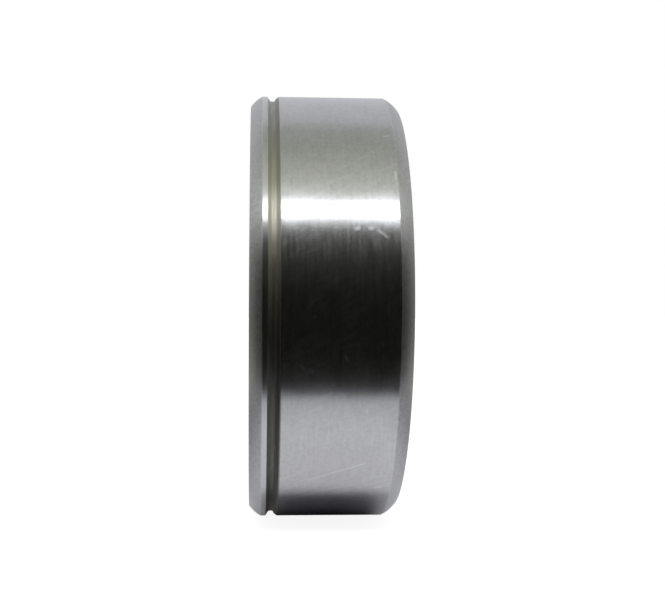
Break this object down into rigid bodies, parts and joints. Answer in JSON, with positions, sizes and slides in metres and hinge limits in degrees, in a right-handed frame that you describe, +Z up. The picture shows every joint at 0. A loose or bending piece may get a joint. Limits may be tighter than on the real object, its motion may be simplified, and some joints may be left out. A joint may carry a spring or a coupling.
{
  "type": "needle roller bearing",
  "caption": "Machined-ring needle roller bearing: a ribbed outer ring with a retaining groove, caged needles and a removable plain inner ring.",
  "frame": {"origin": "centre of the bearing: on its axis, half way across its width", "axes": "+X along the bearing axis, away from the end with the retaining groove; +Z up when the bearing stands on its rim as in the picture; +Y horizontal, away from the camera of the picture"},
  "size_m": [0.022, 0.065, 0.065],
  "materials": {
    "outer_ring_steel": "ground outside diameter, turned corners and groove, ground faces and raceway",
    "inner_ring_steel": "ground bore, faces and raceway",
    "cage_steel": "pressed and pierced sheet steel, dull",
    "needle_steel": "lapped, near mirror"
  },
  "bodies": {
    "outer": {"outer_ring": "outer_ring_steel"},
    "inner": {"inner_ring": "inner_ring_steel"},
    "cage": {"cage": "cage_steel"},
    "needle_01": {"needle_01": "needle_steel"},
    "needle_02": {"needle_02": "needle_steel"},
    "needle_03": {"needle_03": "needle_steel"},
    "needle_04": {"needle_04": "needle_steel"},
    "needle_05": {"needle_05": "needle_steel"},
    "needle_06": {"needle_06": "needle_steel"},
    "needle_07": {"needle_07": "needle_steel"},
    "needle_08": {"needle_08": "needle_steel"},
    "needle_09": {"needle_09": "needle_steel"},
    "needle_10": {"needle_10": "needle_steel"},
    "needle_11": {"needle_11": "needle_steel"},
    "needle_12": {"needle_12": "needle_steel"},
    "needle_13": {"needle_13": "needle_steel"},
    "needle_14": {"needle_14": "needle_steel"},
    "needle_15": {"needle_15": "needle_steel"},
    "needle_16": {"needle_16": "needle_steel"},
    "needle_17": {"needle_17": "needle_steel"},
    "needle_18": {"needle_18": "needle_steel"},
    "needle_19": {"needle_19": "needle_steel"},
    "needle_20": {"needle_20": "needle_steel"},
    "needle_21": {"needle_21": "needle_steel"},
    "needle_22": {"needle_22": "needle_steel"},
    "needle_23": {"needle_23": "needle_steel"},
    "needle_24": {"needle_24": "needle_steel"},
    "needle_25": {"needle_25": "needle_steel"},
    "needle_26": {"needle_26": "needle_steel"},
    "needle_27": {"needle_27": "needle_steel"},
    "needle_28": {"needle_28": "needle_steel"}
  },
  "joints": [
    {"name": "inner_ring_spin", "type": "hinge", "parent": "outer", "child": "inner", "pos_m": [0, 0, 0], "axis": [1, 0, 0], "continuous": true},
    {"name": "cage_spin", "type": "hinge", "parent": "outer", "child": "cage", "pos_m": [0, 0, 0], "axis": [1, 0, 0], "continuous": true},
    {"name": "needle_01_spin", "type": "hinge", "parent": "cage", "child": "needle_01", "pos_m": [0, 0, 0.027], "axis": [1, 0, 0], "continuous": true},
    {"name": "needle_02_spin", "type": "hinge", "parent": "cage", "child": "needle_02", "pos_m": [0, -0.00601, 0.02632], "axis": [1, 0, 0], "continuous": true},
    {"name": "needle_03_spin", "type": "hinge", "parent": "cage", "child": "needle_03", "pos_m": [0, -0.01171, 0.02433], "axis": [1, 0, 0], "continuous": true},
    {"name": "needle_04_spin", "type": "hinge", "parent": "cage", "child": "needle_04", "pos_m": [0, -0.01683, 0.02111], "axis": [1, 0, 0], "continuous": true},
    {"name": "needle_05_spin", "type": "hinge", "parent": "cage", "child": "needle_05", "pos_m": [0, -0.02111, 0.01683], "axis": [1, 0, 0], "continuous": true},
    {"name": "needle_06_spin", "type": "hinge", "parent": "cage", "child": "needle_06", "pos_m": [0, -0.02433, 0.01171], "axis": [1, 0, 0], "continuous": true},
    {"name": "needle_07_spin", "type": "hinge", "parent": "cage", "child": "needle_07", "pos_m": [0, -0.02632, 0.00601], "axis": [1, 0, 0], "continuous": true},
    {"name": "needle_08_spin", "type": "hinge", "parent": "cage", "child": "needle_08", "pos_m": [0, -0.027, 0], "axis": [1, 0, 0], "continuous": true},
    {"name": "needle_09_spin", "type": "hinge", "parent": "cage", "child": "needle_09", "pos_m": [0, -0.02632, -0.00601], "axis": [1, 0, 0], "continuous": true},
    {"name": "needle_10_spin", "type": "hinge", "parent": "cage", "child": "needle_10", "pos_m": [0, -0.02433, -0.01171], "axis": [1, 0, 0], "continuous": true},
    {"name": "needle_11_spin", "type": "hinge", "parent": "cage", "child": "needle_11", "pos_m": [0, -0.02111, -0.01683], "axis": [1, 0, 0], "continuous": true},
    {"name": "needle_12_spin", "type": "hinge", "parent": "cage", "child": "needle_12", "pos_m": [0, -0.01683, -0.02111], "axis": [1, 0, 0], "continuous": true},
    {"name": "needle_13_spin", "type": "hinge", "parent": "cage", "child": "needle_13", "pos_m": [0, -0.01171, -0.02433], "axis": [1, 0, 0], "continuous": true},
    {"name": "needle_14_spin", "type": "hinge", "parent": "cage", "child": "needle_14", "pos_m": [0, -0.00601, -0.02632], "axis": [1, 0, 0], "continuous": true},
    {"name": "needle_15_spin", "type": "hinge", "parent": "cage", "child": "needle_15", "pos_m": [0, 0, -0.027], "axis": [1, 0, 0], "continuous": true},
    {"name": "needle_16_spin", "type": "hinge", "parent": "cage", "child": "needle_16", "pos_m": [0, 0.00601, -0.02632], "axis": [1, 0, 0], "continuous": true},
    {"name": "needle_17_spin", "type": "hinge", "parent": "cage", "child": "needle_17", "pos_m": [0, 0.01171, -0.02433], "axis": [1, 0, 0], "continuous": true},
    {"name": "needle_18_spin", "type": "hinge", "parent": "cage", "child": "needle_18", "pos_m": [0, 0.01683, -0.02111], "axis": [1, 0, 0], "continuous": true},
    {"name": "needle_19_spin", "type": "hinge", "parent": "cage", "child": "needle_19", "pos_m": [0, 0.02111, -0.01683], "axis": [1, 0, 0], "continuous": true},
    {"name": "needle_20_spin", "type": "hinge", "parent": "cage", "child": "needle_20", "pos_m": [0, 0.02433, -0.01171], "axis": [1, 0, 0], "continuous": true},
    {"name": "needle_21_spin", "type": "hinge", "parent": "cage", "child": "needle_21", "pos_m": [0, 0.02632, -0.00601], "axis": [1, 0, 0], "continuous": true},
    {"name": "needle_22_spin", "type": "hinge", "parent": "cage", "child": "needle_22", "pos_m": [0, 0.027, 0], "axis": [1, 0, 0], "continuous": true},
    {"name": "needle_23_spin", "type": "hinge", "parent": "cage", "child": "needle_23", "pos_m": [0, 0.02632, 0.00601], "axis": [1, 0, 0], "continuous": true},
    {"name": "needle_24_spin", "type": "hinge", "parent": "cage", "child": "needle_24", "pos_m": [0, 0.02433, 0.01171], "axis": [1, 0, 0], "continuous": true},
    {"name": "needle_25_spin", "type": "hinge", "parent": "cage", "child": "needle_25", "pos_m": [0, 0.02111, 0.01683], "axis": [1, 0, 0], "continuous": true},
    {"name": "needle_26_spin", "type": "hinge", "parent": "cage", "child": "needle_26", "pos_m": [0, 0.01683, 0.02111], "axis": [1, 0, 0], "continuous": true},
    {"name": "needle_27_spin", "type": "hinge", "parent": "cage", "child": "needle_27", "pos_m": [0, 0.01171, 0.02433], "axis": [1, 0, 0], "continuous": true},
    {"name": "needle_28_spin", "type": "hinge", "parent": "cage", "child": "needle_28", "pos_m": [0, 0.00601, 0.02632], "axis": [1, 0, 0], "continuous": true}
  ],
  "couplings": [
    {"joint": "cage_spin", "follows": "inner_ring_spin", "ratio": 0.46296},
    {"joint": "needle_01_spin", "follows": "inner_ring_spin", "ratio": -6.713},
    {"joint": "needle_02_spin", "follows": "inner_ring_spin", "ratio": -6.713},
    {"joint": "needle_03_spin", "follows": "inner_ring_spin", "ratio": -6.713},
    {"joint": "needle_04_spin", "follows": "inner_ring_spin", "ratio": -6.713},
    {"joint": "needle_05_spin", "follows": "inner_ring_spin", "ratio": -6.713},
    {"joint": "needle_06_spin", "follows": "inner_ring_spin", "ratio": -6.713},
    {"joint": "needle_07_spin", "follows": "inner_ring_spin", "ratio": -6.713},
    {"joint": "needle_08_spin", "follows": "inner_ring_spin", "ratio": -6.713},
    {"joint": "needle_09_spin", "follows": "inner_ring_spin", "ratio": -6.713},
    {"joint": "needle_10_spin", "follows": "inner_ring_spin", "ratio": -6.713},
    {"joint": "needle_11_spin", "follows": "inner_ring_spin", "ratio": -6.713},
    {"joint": "needle_12_spin", "follows": "inner_ring_spin", "ratio": -6.713},
    {"joint": "needle_13_spin", "follows": "inner_ring_spin", "ratio": -6.713},
    {"joint": "needle_14_spin", "follows": "inner_ring_spin", "ratio": -6.713},
    {"joint": "needle_15_spin", "follows": "inner_ring_spin", "ratio": -6.713},
    {"joint": "needle_16_spin", "follows": "inner_ring_spin", "ratio": -6.713},
    {"joint": "needle_17_spin", "follows": "inner_ring_spin", "ratio": -6.713},
    {"joint": "needle_18_spin", "follows": "inner_ring_spin", "ratio": -6.713},
    {"joint": "needle_19_spin", "follows": "inner_ring_spin", "ratio": -6.713},
    {"joint": "needle_20_spin", "follows": "inner_ring_spin", "ratio": -6.713},
    {"joint": "needle_21_spin", "follows": "inner_ring_spin", "ratio": -6.713},
    {"joint": "needle_22_spin", "follows": "inner_ring_spin", "ratio": -6.713},
    {"joint": "needle_23_spin", "follows": "inner_ring_spin", "ratio": -6.713},
    {"joint": "needle_24_spin", "follows": "inner_ring_spin", "ratio": -6.713},
    {"joint": "needle_25_spin", "follows": "inner_ring_spin", "ratio": -6.713},
    {"joint": "needle_26_spin", "follows": "inner_ring_spin", "ratio": -6.713},
    {"joint": "needle_27_spin", "follows": "inner_ring_spin", "ratio": -6.713},
    {"joint": "needle_28_spin", "follows": "inner_ring_spin", "ratio": -6.713}
  ]
}
